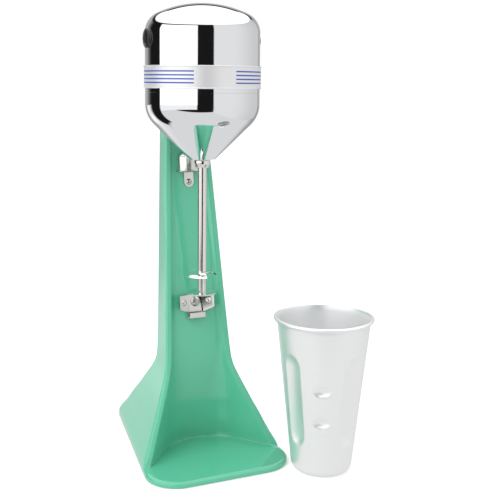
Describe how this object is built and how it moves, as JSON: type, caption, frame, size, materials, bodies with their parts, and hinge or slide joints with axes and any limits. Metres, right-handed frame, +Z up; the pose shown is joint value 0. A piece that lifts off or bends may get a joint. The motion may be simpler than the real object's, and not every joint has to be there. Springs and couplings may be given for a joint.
{
  "type": "spindle drink mixer",
  "caption": "Single-spindle milkshake mixer: chromed motor head on a tapered painted stand, spindle with two agitators, cup brackets, and a fluted mixing cup beside it.",
  "frame": {"origin": "on the spindle's axis at the ground; the stand's bottom rim lies 0.8 mm above it, because the rubber feet stand proud by that much", "axes": "+Z up along the spindle, -Y the front where the user stands, +X the user's right when they face the mixer"},
  "size_m": [0.2314, 0.2858, 0.48],
  "materials": {
    "mint": "glossy mint enamel",
    "chrome": "polished",
    "nickel": "bright nickel",
    "band": "satin with polished beads and painted stripes",
    "bracket": "bright zinc",
    "screw": "zinc",
    "polished_aluminium": "polished",
    "spun_aluminium": "finely turned",
    "bakelite": "glossy black",
    "black_plastic": "matte",
    "rubber": "matte",
    "zinc_plate": "plain",
    "brass": "plain",
    "carbon": "pressed carbon",
    "iron": "lacquered laminations",
    "copper": "enamelled copper wire",
    "casting": "as cast",
    "bronze": "sintered bronze",
    "steel": "ground"
  },
  "bodies": {
    "stand": {"stand_shell": "mint", "base_plate": "zinc_plate", "base_plate_screws": "screw", "rubber_feet": "rubber", "cup_rest": "bracket", "cup_rest_screw": "screw", "cup_rest_studs": "bracket", "cup_rim_catch": "bracket", "catch_screw": "screw", "head_bolts": "screw", "switch_bezel": "black_plastic", "switch_pin": "steel", "cord_grommet": "black_plastic", "upper_housing": "chrome", "lower_housing": "chrome", "trim_band": "band", "brush_caps": "bakelite", "brush_holders": "brass", "carbon_brushes": "carbon", "brush_springs": "steel", "motor_mount": "casting", "stator_core": "iron", "field_coils": "copper", "lower_bearing_bracket": "casting", "upper_bearing_bracket": "casting", "lower_bearing": "bronze", "upper_bearing": "bronze", "motor_bolts": "screw"},
    "spindle": {"motor_shaft": "steel", "armature_core": "iron", "armature_winding": "copper", "commutator": "copper", "cooling_fan": "black_plastic", "spindle_nut": "nickel", "spindle_shaft": "nickel", "butterfly_agitator": "polished_aluminium", "dish_agitator": "polished_aluminium", "spindle_tip": "nickel"},
    "rocker": {"switch_rocker": "bakelite"},
    "cup": {"mixing_cup": "spun_aluminium"}
  },
  "joints": [
    {"name": "spindle_spin", "type": "hinge", "parent": "stand", "child": "spindle", "pos_m": [0, 0, 0.4], "axis": [0, 0, 1], "continuous": true},
    {"name": "switch_tip", "type": "hinge", "parent": "stand", "child": "rocker", "pos_m": [0, 0.07355, 0.262], "axis": [1, 0, 0], "range_deg": [0, 18]},
    {"name": "cup_lift", "type": "slide", "parent": "stand", "child": "cup", "axis": [0, 0, 1], "range_m": [0, 0.18]}
  ]
}
